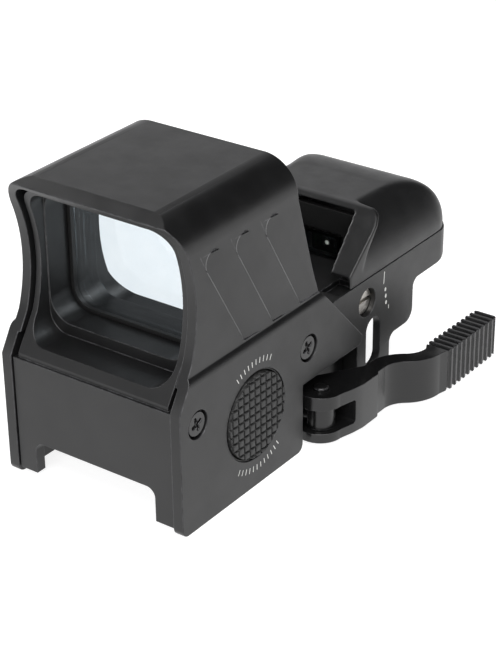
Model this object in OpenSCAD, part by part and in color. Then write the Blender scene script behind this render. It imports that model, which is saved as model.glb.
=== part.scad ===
// Hooded reflex sight on a quick-release rail base, in millimetres.
// +Y points from the front window to the shooter's eye, +X to the lever's side, +Z up.
// Modules draw with Y = 0 at the front edge and Z = 0 under the feet, and place() then
// moves them so that the origin is on the rail seat.

/* [Shield] */
// Width over the side plates
shield_w = 44; // [43.6:0.2:45]
// Thickness of a side plate
plate_t = 2.4; // [2:0.1:2.4]
// Width of the hood above the plates
hood_w = 42.4; // [42.2:0.1:42.6]
// Height of the roof above the feet
roof_z = 64.4; // [64:0.1:66]
// Thickness of the roof
roof_t = 2.4; // [1.8:0.1:2.6]
// Radius of the hood's long upper edges
hood_r = 7.4; // [6:0.2:7.6]
// Length of the plates' lower part
plate_len = 39.8; // [39:0.2:40]
// Slant of the side flutes from upright, in degrees
flute_slant = 30.5; // [26:0.5:32]
// Distance from one flute to the next
flute_pitch = 9.3; // [9:0.1:9.6]

/* [Housing] */
// Width of the main casting
housing_w = 38.8; // [38.6:0.1:39]
// Height of the deck above the feet
deck_z = 27; // [26.9:0.1:27.1]
// Height of the front wall's flat top above the feet
front_wall_top = 26.5; // [26:0.1:26.8]
// Overall length from the plates' front edge to the rear cover
body_len = 102; // [100:0.5:103]
// Width of the front wall's channel
channel_w = 30; // [28:0.5:31]

/* [Window] */
// Width of the window through the housing
window_w = 33.8; // [33:0.2:34]
// Height of the window's sill
sill_z = 31.8; // [31.4:0.1:32.2]
// Height of the window's head
head_z = 60; // [59:0.1:60.2]
// Thickness of the lens
lens_t = 2.4; // [1.8:0.1:2.6]

/* [Rear cover] */
// Height of the rear cover's top above the feet
cover_z = 40.3; // [40:0.1:42]
// Width of the rear cover's front opening at its top
cover_opening_w = 26; // [25.6:0.2:26.4]

/* [Rail clamp] */
// Height of the rail seat above the feet
seat_z = 6.2; // [6.1:0.05:6.3]
// Half the width of the rail at its widest
rail_half = 10.6; // [10.55:0.05:10.65]
// Radius of the cross bolt
bolt_r = 2.5; // [2.3:0.1:2.5]
// Travel of the clamp when the lever is opened
clamp_travel = 1.2; // [1:0.05:1.2]

/* [Lever] */
// Height of the lever
lever_h = 10.9; // [10:0.1:10.9]
// Height of the lever at the end of its thumb pad
pad_h = 8.6; // [8:0.1:9]
// Ribs on each face of the thumb pad
rib_count = 11; // [9:1:11]
// Distance from one rib to the next
rib_pitch = 1.9; // [1.7:0.05:1.9]

/* [Button] */
// Radius of the rubber button
button_r = 9; // [8:0.25:9]
// Knurls across the button
knurl_count = 9; // [7:2:11]

/* [Hidden] */
$fn = 64;
fine = 96;
eps = 0.05;
far = 200;

// Where the origin lies, on the seat and a little ahead of the clamp
seat_mid_y = 34;

// Shield
shield_half = shield_w / 2;
plate_in = shield_half - plate_t;
hood_half = hood_w / 2;
hood_in = hood_half - 2.2;
roof_in = roof_z - roof_t;
shoulder_z = 33.4;
shoulder_r = 2.2;
rim_r = 32;
rim_mid_z = 46;
rim_depth = 6.85;
rim_knee_z = 34.8;
flute_y = 9;
flute_z = 54.3;
wing_z = 15.2;
wing_tip_y = 61.5;

// Housing
half = housing_w / 2;
housing_bottom = 8.6;
frame_half = 18.5;
frame_top = roof_in - 0.3;
recess_top = frame_top - 1;
frame_end = 26.5;
block_y = 63.6;
skirt_t = 1.9;
skirt_end = 76.4;
tier_end = 85.6;

// Battery, lying across the sight
battery_y = 15;
battery_z = 17.6;
battery_r = 7.8;
battery_len = 27;
battery_x = -16.6;
seal_x = -18.6;

// Button
button_y = 23.8;
button_z = 16;

// Screws that hold the shield, as [side, y, z]
shield_screw_at = [[1, 5.4, 22.8], [1, 41.8, 22.8], [-1, 4, 24.2], [-1, 41.8, 22.8]];

// Screws that hold the rear cover and the clamp base
cover_y = 60.6;
cover_screw_x = 16.6;
cover_screw_y = 90;
cover_head_z = 21.3;
base_screw_at = [[-5, 33], [5, 33], [-5, 38.5], [5, 38.5]];

// Lever, in plan
pin_x = 21.8;
pin_y = 46.5;
pin_r = 1.6;
cam_r = 5.1;
cam_x = pin_x - clamp_travel / 2;
cam_y = pin_y + clamp_travel / 2;
lever_z = 0.8;
arm_in = 23.3;
arm_out = 27.1;
bend_y = 62.4;
bend_run = 12.4;
bend_shift = 6.2;
bend_a = 2 * atan(bend_shift / bend_run);
bend_r = bend_run / (2 * sin(bend_a));
bend_mid_x = (arm_in + arm_out) / 2;
arm_t = arm_out - arm_in;
pad_in = 28.4;
pad_out = 34.1;
pad_end = 97.3;
groove_r = 0.62;
groove_out = 0.15;
fork_z0 = 2.9;
fork_z1 = 8.3;
fork_end = 51.2;

// Clamp
bolt_y = pin_y;
bolt_z = 5.6;
bearing_x = cam_x - cam_r - 0.05;
base_y0 = 14;
base_y1 = 63.2;
block_front = 41;
fit = 0.05;

// Emitter
windage_y = 67.3;
windage_z = 21.5;
elevation_x = -6;
elevation_y = 65.4;
led_x = 4;
led_z = 28.4;

// ---- Helpers ----

module place() translate([0, -seat_mid_y, -seat_z]) children();

// A profile drawn as (Y, Z), drawn out along X
module along_x(x0, x1) translate([x0, 0, 0]) rotate([90, 0, 90]) linear_extrude(x1 - x0) children();

// A profile drawn as (X, Z), drawn out along Y
module along_y(y0, y1) translate([0, y1, 0]) rotate([90, 0, 0]) linear_extrude(y1 - y0) children();

// A profile drawn as (X, Y), drawn out along Z
module along_z(z0, z1) translate([0, 0, z0]) linear_extrude(z1 - z0) children();

module both_sides() {
    children();
    mirror([1, 0, 0]) children();
}

// The same for a flat profile
module both_halves() {
    children();
    mirror([1, 0]) children();
}

module box(x, y, z) translate([x[0], y[0], z[0]]) cube([x[1] - x[0], y[1] - y[0], z[1] - z[0]]);

module rod_x(x0, x1, y, z, r) translate([x0, y, z]) rotate([0, 90, 0]) cylinder(h = x1 - x0, r = r);

module rod_z(x, y, z0, z1, r) translate([x, y, z0]) cylinder(h = z1 - z0, r = r);

// Rectangle from (x0, y0) to (x1, y1) with corners of radius r
module round_rect(x0, y0, x1, y1, r) {
    translate([x0 + r, y0]) square([x1 - x0 - 2 * r, y1 - y0]);
    translate([x0, y0 + r]) square([x1 - x0, y1 - y0 - 2 * r]);
    for (x = [x0 + r, x1 - r], y = [y0 + r, y1 - r]) translate([x, y]) circle(r);
}

// Square of side r with a quarter circle taken out of it, for rounding the corner at (x, y);
// sx and sy point from the corner into the solid
module corner_cut(x, y, r, sx, sy) {
    difference() {
        translate([x + (sx > 0 ? -1 : -r), y + (sy > 0 ? -1 : -r)]) square(r + 1);
        translate([x + sx * r, y + sy * r]) circle(r);
    }
}

// Cross recess for a driver, in the end at x of a screw along the X axis
module cross_recess(x, reach, depth) {
    for (turn = [20, 110])
        translate([x, 0, 0]) rotate([turn, 0, 0]) box([-depth, depth], [-reach, reach], [-0.35, 0.35]);
}

// ---- Shield ----

function rim_y(z) = rim_depth - rim_r + sqrt(rim_r * rim_r - (z - rim_mid_z) * (z - rim_mid_z));

module shield_outline() {
    difference() {
        polygon([
            [0, 0], [plate_len, 0], [plate_len, wing_z], [wing_tip_y, wing_z], [wing_tip_y, 17.3],
            [46.2, 33.6], [44.1, 39.5], [39.3, 56], [38.6, roof_z], [0, roof_z], [0, 27]
        ]);
        intersection() {
            translate([rim_depth - rim_r, rim_mid_z]) circle(rim_r, $fn = fine);
            translate([-1, rim_knee_z]) square([far, far]);
        }
        polygon([[-1, rim_knee_z + eps], [-1, 26.8], [0, 26.8], [rim_y(rim_knee_z), rim_knee_z],
            [rim_y(rim_knee_z), rim_knee_z + eps]]);
        // slanted edge at the rim's top
        polygon([[-1, roof_z + 1], [-1, roof_z - 3.1], [4.8, roof_z], [4.8, roof_z + 1]]);
        corner_cut(0, 0, 1.8, 1, 1);
        corner_cut(plate_len, 0, 1.8, -1, 1);
        corner_cut(wing_tip_y, wing_z, 1.6, -1, 1);
    }
}

// Cross-section of one half, X >= 0
module shield_section() {
    difference() {
        union() {
            square([shield_half, shoulder_z - shoulder_r]);
            square([shield_half - shoulder_r, shoulder_z]);
            translate([shield_half - shoulder_r, shoulder_z - shoulder_r]) circle(shoulder_r);
            translate([0, shoulder_z - 1]) square([hood_half, roof_z - hood_r - shoulder_z + 1]);
            translate([0, roof_z - hood_r - 1]) square([hood_half - hood_r, hood_r + 1]);
            translate([hood_half - hood_r, roof_z - hood_r]) circle(hood_r, $fn = fine);
        }
        translate([-1, -1]) square([plate_in + 1, shoulder_z - 2.4 + 1]);
        translate([-1, 20]) square([hood_in + 1, roof_in - 3.6 - 20]);
        translate([-1, 40]) square([hood_in - 3.6 + 1, roof_in - 40]);
        translate([hood_in - 3.6, roof_in - 3.6]) circle(3.6);
    }
}

// Places what is drawn about the X axis at each shield screw, turned to that screw's side
module at_shield_screws() {
    for (s = shield_screw_at)
        mirror([s[0] < 0 ? 1 : 0, 0, 0]) translate([0, s[1], s[2]]) children();
}

module shield() color([0.09, 0.09, 0.1]) place() {
    difference() {
        intersection() {
            along_x(-far, far) shield_outline();
            along_y(-1, far) both_halves() shield_section();
        }
        both_sides() flutes_cut();
        at_shield_screws() {
            rod_x(plate_in - 1, far, 0, 0, 1.4);
            rod_x(20.7, far, 0, 0, 2.95);
        }
        rod_x(plate_in - 1, far, button_y, button_z, button_r + 0.6, $fn = fine);
        rod_x(-far, -plate_in + 1, battery_y, battery_z, 9.3, $fn = fine);
    }
}

// Cuts the flutes of one side, each a shallow wedge that is deepest at its front edge
module flutes_cut() {
    step = 0.3;
    width = 5.6;
    run = 30;
    wedge = atan(step / width);
    intersection() {
        box([0, far], [0, far], [shoulder_z, far]);
        for (i = [0:2])
            translate([hood_half, flute_y + i * flute_pitch, flute_z]) rotate([flute_slant, 0, 0])
                intersection() {
                    rotate([0, 0, -wedge]) translate([-step * cos(wedge), 0, -run])
                        cube([3, 2 * width, run + 6]);
                    along_x(-3, 3) flute_outline(width, run);
                }
    }
}

// Side view of a flute that runs down from its rounded top at the origin
module flute_outline(width, run) {
    r = 2.5;
    translate([0, -run]) square([width + 2, run - r]);
    translate([r, -r]) circle(r);
    polygon([[r, 0], [width + 2, -3.2], [width + 2, -run], [0, -run], [0, -r]]);
}

// ---- Housing ----

// Side view of the rear block, stepped in towards the feet
module block_outline() {
    difference() {
        union() {
            translate([56, 19.5]) square([body_len - 56, deck_z - 19.5]);
            translate([block_y, 10]) square([tier_end - block_y, 12]);
            translate([block_y, 1]) square([skirt_end - block_y, 12]);
            translate([tier_end - 1, 17.3]) square([3, 3]);
            translate([skirt_end - 1, 8]) square([3, 3]);
        }
        corner_cut(body_len, 19.5, 7, -1, 1);
        corner_cut(tier_end, 10, 3, -1, 1);
        corner_cut(block_y, 1, 1, 1, 1);
        corner_cut(skirt_end, 1, 1, -1, 1);
        translate([tier_end + 2, 17.5]) circle(2);
        translate([skirt_end + 2, 8]) circle(2);
        translate([tier_end + 2, 14]) square([3, 3.5]);
    }
}

// Plan of the rear block and of the cover over it
module block_plan(half_w, r) {
    translate([-half_w, 0]) square([2 * half_w, body_len - r]);
    translate([-half_w + r, 0]) square([2 * half_w - 2 * r, body_len]);
    for (x = [-half_w + r, half_w - r]) translate([x, body_len - r]) circle(r, $fn = fine);
}

// Front view of the window frame
module frame_section(grow, z0, z1, r) round_rect(-frame_half + grow, z0, frame_half - grow, z1, r);

module window_section(shrink, r) {
    round_rect(-window_w / 2 + shrink, sill_z + shrink, window_w / 2 - shrink, head_z - shrink, r);
}

// Side view of the front of the housing, set back a little from the shield's rim
module frame_outline() {
    set_back = 1;
    difference() {
        translate([set_back, deck_z - 8]) square([frame_end - set_back, frame_top - deck_z + 8]);
        intersection() {
            translate([rim_depth - rim_r + set_back, rim_mid_z]) circle(rim_r, $fn = fine);
            translate([-1, rim_knee_z]) square([far, far]);
        }
        polygon([[0, rim_knee_z + eps], [0, front_wall_top], [0.4, front_wall_top],
            [rim_y(rim_knee_z) + set_back, rim_knee_z], [rim_y(rim_knee_z) + set_back, rim_knee_z + eps]]);
    }
}

module front_legs() {
    difference() {
        box([-half, half], [0.4, 2.8], [1.4, 12]);
        along_y(-1, 5) round_rect(-channel_w / 2, -5, channel_w / 2, housing_bottom, 2);
    }
}

module housing_cavities() {
    // battery tube and cap seat
    rod_x(-far, 12.2, battery_y, battery_z, 8);
    rod_x(-far, -16.5, battery_y, battery_z, 8.85, $fn = fine);
    // button and switch
    rod_x(16.8, far, button_y, button_z, 10.9, $fn = fine);
    box([13.2, 17], [button_y - 3.6, button_y + 4.6], [button_z - 3.6, button_z + 3.6]);
    // circuit board, its hatch above the clamp base, and the wires' way to the rear
    box([-13, 13.6], [27, 56], [16, 24.6]);
    box([-10, 9], [43.6, 55], [14, 16.5]);
    box([-6, 6], [55, 64], [19.5, 24]);
    // emitter bay under the deck, and its mouth under the cover
    box([-12.2, 12.2], [63.2, 96], [19, 25.4]);
    box([-13.9, 13.9], [73.4, 95], [19, deck_z + 1]);
    // pocket in the deck before each foot of the cover
    both_sides() box([14.4, half - 0.6], [57.2, 64], [25.8, far]);
    // space between the skirts, closed in front above the rail
    box([-11.2, 11.2], [block_y - 1, block_y + 3], [-1, 6.8]);
    box([-half + skirt_t, half - skirt_t], [block_y + 2, tier_end - skirt_t], [-1, 17.4]);
}

module housing_bores() {
    at_shield_screws() rod_x(15.4, far, 0, 0, 1.25);
    rod_x(16.2, far, windage_y, windage_z, 3.2);
    rod_x(11, far, windage_y, windage_z, 2 + fit);
    rod_z(elevation_x, elevation_y, 24, far, 3.2);
    both_sides() {
        rod_z(cover_screw_x, cover_screw_y, 15, far, 1.25);
        rod_z(cover_screw_x, cover_screw_y, 15, cover_head_z, 2.3);
    }
    for (p = base_screw_at) rod_z(p[0], p[1], housing_bottom - 1, 13.4, 1.25);
    // slot through each skirt
    along_x(-far, far) round_rect(windage_y - 0.2, 5.2, windage_y + 5.2, 16.9, 2.6);
}

module housing() color([0.07, 0.07, 0.08]) place() {
    difference() {
        union() {
            box([-half, half], [0.4, 41.2], [housing_bottom, front_wall_top]);
            box([-half, half], [25, 57], [14.8, deck_z]);
            box([-half, half], [56, 66], [15.5, deck_z]);
            front_legs();
            intersection() {
                along_x(-far, far) frame_outline();
                along_y(-1, far) frame_section(0, deck_z - 8, frame_top, 5);
            }
            intersection() {
                along_x(-far, far) block_outline();
                along_z(-1, far) block_plan(half, 5.5);
            }
        }
        // recess in front of the window, then the window itself
        along_y(-1, 9.5) frame_section(1.3, 29.3, recess_top, 4.5);
        along_y(-1, 19.5) window_section(0, 5);
        along_y(-1, far) window_section(1.2, 8);
        housing_cavities();
        housing_bores();
    }
}

// ---- Rear cover ----

// Half of the cross-section behind the front frame: narrow above, flared out to the deck's edge
module cover_section() {
    flare_r = 5;
    top_half = 17;
    r = 6;
    difference() {
        union() {
            translate([0, deck_z]) square([half, 2.4]);
            translate([0, deck_z]) square([top_half, cover_z - r - deck_z]);
            translate([0, deck_z]) square([top_half - r, cover_z - deck_z]);
            translate([top_half - r, cover_z - r]) circle(r, $fn = fine);
            translate([top_half - 1, deck_z + 1]) square([half - top_half + 1, 5.4]);
        }
        translate([top_half + flare_r, deck_z + 1.4 + flare_r]) circle(flare_r, $fn = fine);
        translate([top_half, deck_z + 1.4 + flare_r]) square([5, 5]);
        translate([half, deck_z + 1.4]) square([5, 10]);
    }
}

// Half of the front frame's cross-section
module cover_frame_section() {
    difference() {
        translate([0, deck_z]) square([half, cover_z - deck_z]);
        corner_cut(half, cover_z, 3.2, -1, -1);
    }
}

// Side view, with the sloped front and the rounded rear
module cover_outline() {
    rear_r = 17;
    difference() {
        polygon([[cover_y, deck_z], [cover_y, 30], [cover_y + 12, cover_z], [body_len, cover_z],
            [body_len, deck_z]]);
        intersection() {
            corner_cut(body_len, cover_z, rear_r, -1, -1);
            translate([body_len - rear_r, deck_z + 1.4]) square(rear_r + 5);
        }
    }
}

// Side view of the front frame, as thick as t along Y
module cover_frame_outline(t) {
    polygon([[cover_y, deck_z], [cover_y, 30], [cover_y + 12, cover_z], [cover_y + 12 + t, cover_z],
        [cover_y + t, 30], [cover_y + t, deck_z]]);
}

module rear_cover() color([0.08, 0.08, 0.09]) place() {
    bottom_half = cover_opening_w / 2 + 1.9;
    flange_step = 0.1;
    difference() {
        union() {
            intersection() {
                along_y(0, far) both_halves() cover_section();
                along_x(-far, far) cover_outline();
                along_z(0, far) block_plan(half - flange_step, 12);
            }
            // flange on the deck
            intersection() {
                along_z(deck_z, deck_z + 1.4) block_plan(half, 5.5);
                along_y(0, far) both_halves() cover_section();
                box([-far, far], [cover_y, far], [0, far]);
            }
            intersection() {
                along_y(0, far) both_halves() cover_frame_section();
                along_x(-far, far) cover_frame_outline(1);
            }
        }
        // inside
        along_x(-14.8, 14.8) polygon([[62.3, deck_z - 1], [62.3, 30], [71.8, cover_z - 2.2],
            [body_len - 11, cover_z - 2.2], [body_len - 3.4, 30], [body_len - 3.4, deck_z - 1]]);
        // front opening
        along_y(50, 74.4) polygon([[-bottom_half, deck_z - 1], [bottom_half, deck_z - 1],
            [cover_opening_w / 2, cover_z - 0.9], [-cover_opening_w / 2, cover_z - 0.9]]);
        // gasket seat
        box([-far, far], [0, far], [deck_z - 1, deck_z + 0.3]);
        // notch under each foot of the front frame
        both_sides() along_y(50, 64) round_rect(14, deck_z - 3, half - 0.5, 29.6, 1.2);
        both_sides() rod_z(cover_screw_x, cover_screw_y, deck_z - 1, deck_z + 3, 1.25);
    }
}

module cover_gasket() color([0.03, 0.03, 0.03]) place() {
    difference() {
        intersection() {
            along_z(deck_z, deck_z + 0.3) block_plan(half - 0.25, 5.25);
            box([-far, far], [64.8, far], [0, far]);
        }
        box([-14.7, 14.7], [0, body_len - 3.4], [0, far]);
        both_sides() rod_z(cover_screw_x, cover_screw_y, 0, far, 1.4);
    }
}

// ---- Window parts ----

module lens() color([0.55, 0.62, 0.7, 0.4]) place() along_y(16.6, 16.6 + lens_t) window_section(0.1, 4.9);

module lens_retainer() color([0.05, 0.05, 0.05]) place() along_y(15.6, 16.6) difference() {
    window_section(0.05, 4.95);
    window_section(0.9, 4.1);
}

module lens_gasket() color([0.03, 0.03, 0.03]) place() along_y(16.6 + lens_t, 19.5) difference() {
    window_section(0.1, 4.9);
    window_section(1.1, 7.8);
}

module emitter_window() color([0.6, 0.68, 0.75, 0.4]) place() along_y(70.6, 71.8)
    round_rect(-10, deck_z, 10, 32.9, 0.5);

module window_frame() color([0.04, 0.04, 0.04]) place() along_y(71.8, 73.2) difference() {
    round_rect(-14.7, deck_z, 14.7, cover_z - 2.3, 0.5);
    round_rect(-8.8, deck_z + 0.4, 8.8, 31.8, 0.8);
}

// ---- Electronics ----

module main_board() color([0.05, 0.3, 0.15]) place() difference() {
    box([-12, 10], [28, 55], [20.4, 22]);
    for (y = [31, 52]) rod_z(-9, y, 20, 23, 1.1);
}

module board_chip() color([0.05, 0.05, 0.05]) place() {
    box([-4, 3], [36, 43], [18.8, 20.4]);
    for (y = [47, 50.5]) box([3, 6.2], [y, y + 1.6], [19.4, 20.4]);
}

module switch_body() color([0.12, 0.12, 0.12]) place() difference() {
    box([13.3, 16.3], [button_y - 3, button_y + 3], [button_z - 3, button_z + 3]);
    rod_x(14.4, 17, button_y, button_z, 1.8);
}

module switch_plunger() color([0.5, 0.1, 0.1]) place() rod_x(15.3, 17.3, button_y, button_z, 1.6);

module battery() color([0.6, 0.6, 0.62]) place() {
    rod_x(battery_x, battery_x + battery_len - 1, battery_y, battery_z, battery_r);
    rod_x(battery_x + battery_len - 1.2, battery_x + battery_len, battery_y, battery_z, 3);
}

module battery_spring() color([0.75, 0.65, 0.35]) place() difference() {
    rod_x(battery_x + battery_len, 12.2, battery_y, battery_z, 5);
    rod_x(battery_x + battery_len + 0.4, 13, battery_y, battery_z, 4.4);
}

module cap_seal() color([0.03, 0.03, 0.03]) place() translate([seal_x, battery_y, battery_z])
    rotate([0, 90, 0]) rotate_extrude($fn = fine) translate([8.34, 0]) circle(0.44, $fn = 16);

module battery_cap() color([0.08, 0.08, 0.09]) place() difference() {
    union() {
        rod_x(-24, -22.05, battery_y, battery_z, 9.4, $fn = fine);
        rod_x(-22.05, -19.2, battery_y, battery_z, 8.7, $fn = fine);
        rod_x(-19.2, battery_x, battery_y, battery_z, 8.2, $fn = fine);
    }
    // groove for the seal
    translate([seal_x, battery_y, battery_z]) rotate([0, 90, 0])
        rotate_extrude($fn = fine) translate([8.4, 0]) circle(0.56, $fn = 16);
    // coin slot
    box([-25, -22.8], [battery_y - 7, battery_y + 7], [battery_z - 0.9, battery_z + 0.9]);
    // finger scallops
    for (a = [0:20:340])
        translate([-24.5, battery_y, battery_z]) rotate([a, 0, 0]) rod_x(0, 2.3, 10.1, 0, 1.1, $fn = 24);
}

// ---- Button ----

module button_pad() color([0.05, 0.05, 0.05]) place() {
    difference() {
        rod_x(19.3, 22.5, button_y, button_z, button_r, $fn = fine);
        // grooves between the knurls
        for (i = [0:knurl_count]) {
            pitch = 1.82;
            at = (i - knurl_count / 2) * pitch;
            box([22, 24], [button_y + at - 0.22, button_y + at + 0.22], [0, far]);
            box([22, 24], [0, far], [button_z + at - 0.22, button_z + at + 0.22]);
        }
    }
    rod_x(18.4, 19.3, button_y, button_z, 10.3, $fn = fine);
    rod_x(17.3, 18.4, button_y, button_z, 2.5);
}

module button_bezel() color([0.1, 0.1, 0.1]) place() difference() {
    rod_x(19.6, 21.7, button_y, button_z, button_r + 0.55, $fn = fine);
    rod_x(19, 23, button_y, button_z, button_r + 0.3, $fn = fine);
}

// ---- Fasteners ----

module shield_screws() color([0.02, 0.02, 0.02]) place() {
    at_shield_screws() difference() {
        union() {
            rod_x(20.7, 21.7, 0, 0, 2.55);
            rod_x(15.6, 20.8, 0, 0, 1.2);
        }
        cross_recess(21.7, 1.5, 0.7);
    }
}

module cover_screws() color([0.05, 0.05, 0.05]) place() {
    both_sides() difference() {
        union() {
            rod_z(cover_screw_x, cover_screw_y, cover_head_z - 1.6, cover_head_z, 2.2);
            rod_z(cover_screw_x, cover_screw_y, cover_head_z - 0.1, deck_z + 2.9, 1.2);
        }
        rod_z(cover_screw_x, cover_screw_y, 15, cover_head_z - 0.6, 1.1, $fn = 6);
    }
}

module base_screws() color([0.05, 0.05, 0.05]) place() {
    for (p = base_screw_at) difference() {
        union() {
            rod_z(p[0], p[1], seat_z + 0.2, seat_z + 1.7, 2.2);
            rod_z(p[0], p[1], seat_z + 1.6, 13.2, 1.2);
        }
        rod_z(p[0], p[1], seat_z, seat_z + 1.2, 1.1, $fn = 6);
    }
}

// ---- Rail clamp ----

// Cross-section of the base with its fixed jaw, X to the right
module base_section() {
    v = rail_half + 0.4;
    polygon([
        [-12, seat_z + 0.5], [-8.6, seat_z + 0.5], [-8.6, seat_z], [8.2, seat_z], [v, seat_z - 2.8],
        [v - 2.1, seat_z - 4.9], [v - 2.1, 0], [bearing_x, 0], [bearing_x, housing_bottom],
        [-12, housing_bottom]
    ]);
}

module clamp_base() color([0.06, 0.06, 0.07]) place() difference() {
    union() {
        along_y(base_y0, base_y1) base_section();
        box([-12, bearing_x], [block_front + 0.4, base_y1], [seat_z + 1, 14.7]);
    }
    // rounded front of the fixed jaw
    box([7, far], [base_y0 - 1, base_y0 + 1], [-1, 2]);
    rod_x(-far, far, bolt_y, bolt_z, bolt_r + fit);
    // relief in the seat on either side of the bolt
    box([-9, 8.4], [bolt_y - bolt_r - 0.2, bolt_y + bolt_r + 0.2], [seat_z - 1, seat_z + 0.3]);
    // pocket for the jaw spring
    rod_x(-far, -8, 55.5, 10.2, 2.6);
    // seat for the recoil lug
    box([-8, 8], [24, 29], [0, seat_z + 1]);
    for (p = base_screw_at) {
        rod_z(p[0], p[1], 0, seat_z + 1.7, 2.4);
        rod_z(p[0], p[1], 0, far, 1.3);
    }
}

module recoil_lug() color([0.5, 0.5, 0.52]) place() {
    box([-7.9, 7.9], [24, 29], [seat_z - 2.7, seat_z + 1]);
}

module jaw_section() {
    v = -rail_half - 0.4;
    polygon([
        [v + 2.1, 0], [v + 2.1, seat_z - 4.9], [v, seat_z - 2.8], [v + 2.2, seat_z - 0.6],
        [v + 2.2, seat_z - 0.2], [-12.2, seat_z - 0.2], [-12.2, 13.6], [-16.6, 13.6], [-16.6, 0]
    ]);
}

module clamp_jaw() color([0.06, 0.06, 0.07]) place() difference() {
    along_y(41.6, 60.6) jaw_section();
    rod_x(-far, 0, bolt_y, bolt_z, bolt_r + fit);
    rod_x(-14, 0, 55.5, 10.2, 2.6);
}

module jaw_spring() color([0.7, 0.7, 0.72]) place() difference() {
    rod_x(-13.9, -8.1, 55.5, 10.2, 2.2);
    rod_x(-14, -8, 55.5, 10.2, 1.6);
}

module cross_bolt() color([0.05, 0.05, 0.05]) place() {
    difference() {
        union() {
            rod_x(-21.6, pin_x - 1, bolt_y, bolt_z, bolt_r);
            rod_z(pin_x, pin_y, fork_z0 + 0.1, fork_z1 - 0.1, 3);
        }
        rod_z(pin_x, pin_y, 0, 12, pin_r + 0.02);
    }
}

module tension_nut() color([0.06, 0.06, 0.06]) place() difference() {
    rod_x(-20.8, -16.65, bolt_y, bolt_z, 5);
    rod_x(-22, -16, bolt_y, bolt_z, bolt_r + fit);
    for (a = [0:30:330])
        translate([-21, bolt_y, bolt_z]) rotate([a, 0, 0]) rod_x(0, 5, 5.5, 0, 1, $fn = 24);
    box([-21, -19.8], [bolt_y - 6, bolt_y + 6], [bolt_z - 0.7, bolt_z + 0.7]);
}

module lever_pin() color([0.75, 0.75, 0.76]) place() {
    rod_z(pin_x, pin_y, lever_z - 0.2, lever_z + lever_h + 0.1, pin_r);
    // domed end
    translate([pin_x, pin_y, lever_z + lever_h + 0.1]) intersection() {
        translate([0, 0, -2.6]) sphere(3.05);
        cylinder(h = 2, r = pin_r);
    }
}

// ---- Lever ----

// Arc-shaped band about (x, y), centre line radius r, from angle a0 to a1
module band(x, y, r, t, a0, a1) {
    reach = 3 * r;
    translate([x, y]) intersection() {
        difference() {
            circle(r + t / 2, $fn = fine);
            circle(r - t / 2, $fn = fine);
        }
        polygon([[0, 0], reach * [cos(a0), sin(a0)], reach * [cos((a0 + a1) / 2), sin((a0 + a1) / 2)],
            reach * [cos(a1), sin(a1)]]);
    }
}

function rib_y(i) = 77.3 + i * rib_pitch;

// The lever's lower and upper faces, which draw together towards the pad
function lever_bottom(y) = lever_z - 0.4 * (y - 30) / 80;
function lever_top(y) = lever_z + lever_h - (lever_h - pad_h) * (y - 30) / 80;

module lever_plan() {
    bend_end = bend_y + bend_run;
    difference() {
        union() {
            translate([cam_x, cam_y]) circle(cam_r, $fn = fine);
            // root of the arm, behind the round nose
            polygon([[cam_x, cam_y - 3], [cam_x + cam_r, cam_y], [27.2, 50.4], [27.7, 53.4], [27.7, 59],
                [arm_out, 59.8], [arm_out, bend_y + eps], [arm_in, bend_y + eps], [arm_in, 60.4],
                [21.6, 57.2], [17.4, 50.4], [18, cam_y]]);
            band(bend_mid_x + bend_r, bend_y, bend_r, arm_t, 180 - bend_a, 180);
            band(bend_mid_x + bend_shift - bend_r, bend_end, bend_r, arm_t, -bend_a, 0);
            // thumb pad
            polygon([[pad_in, 77], [bend_mid_x + bend_shift - arm_t / 2, bend_end - eps],
                [bend_mid_x + bend_shift + arm_t / 2, bend_end - eps], [pad_out, 78],
                [pad_out, pad_end - 1], [pad_in, pad_end - 1]]);
            round_rect(pad_in, pad_end - 4, pad_out, pad_end, 0.9);
        }
        for (i = [0:rib_count - 1], x = [pad_in - groove_out, pad_out + groove_out])
            translate([x, rib_y(i)]) circle(groove_r, $fn = 24);
    }
}

// Grooves between the ribs, over the pad's top and under its bottom
module rib_grooves() {
    for (i = [0:rib_count - 1]) {
        y = rib_y(i);
        rod_x(pad_in - 1, pad_out + 1, y, lever_top(y) + groove_out, groove_r, $fn = 24);
        rod_x(pad_in - 1, pad_out + 1, y, lever_bottom(y) - groove_out, groove_r, $fn = 24);
    }
}

module lever() color([0.12, 0.12, 0.13]) place() difference() {
    intersection() {
        along_z(0, 20) lever_plan();
        // the lever thins towards the pad
        along_x(0, far) polygon([[30, lever_bottom(30)], [110, lever_bottom(110)], [110, lever_top(110)],
            [30, lever_top(30)]]);
    }
    rib_grooves();
    // fork between the ears
    along_x(10, 35) round_rect(30, fork_z0, fork_end, fork_z1, 0.6);
    rod_z(pin_x, pin_y, 0, 20, pin_r + fit);
}

// ---- Adjusters and emitter ----

module windage_screw() color([0.8, 0.78, 0.7]) place() difference() {
    union() {
        rod_x(16.3, 18.1, windage_y, windage_z, 3);
        rod_x(2.6, 16.4, windage_y, windage_z, 2);
    }
    box([17.3, 19], [windage_y - 4, windage_y + 4], [windage_z - 0.4, windage_z + 0.4]);
}

module windage_slide() color([0.35, 0.35, 0.37]) place() difference() {
    union() {
        box([1, 9], [64.6, 70], [19.15, 24.4]);
        box([-9, 9], [69.6, 90], [19.15, 21]);
        box([-9, -3], [62.9 + 0.6, 70], [19.15, 20.8]);
    }
    rod_x(1.8, 10, windage_y, windage_z, 2 + fit);
    rod_z(elevation_x, elevation_y, 19.6, 22, 1.5 + fit);
    // pocket for the upright spring
    rod_z(0, 85, 20, 22, 1.9);
}

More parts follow.
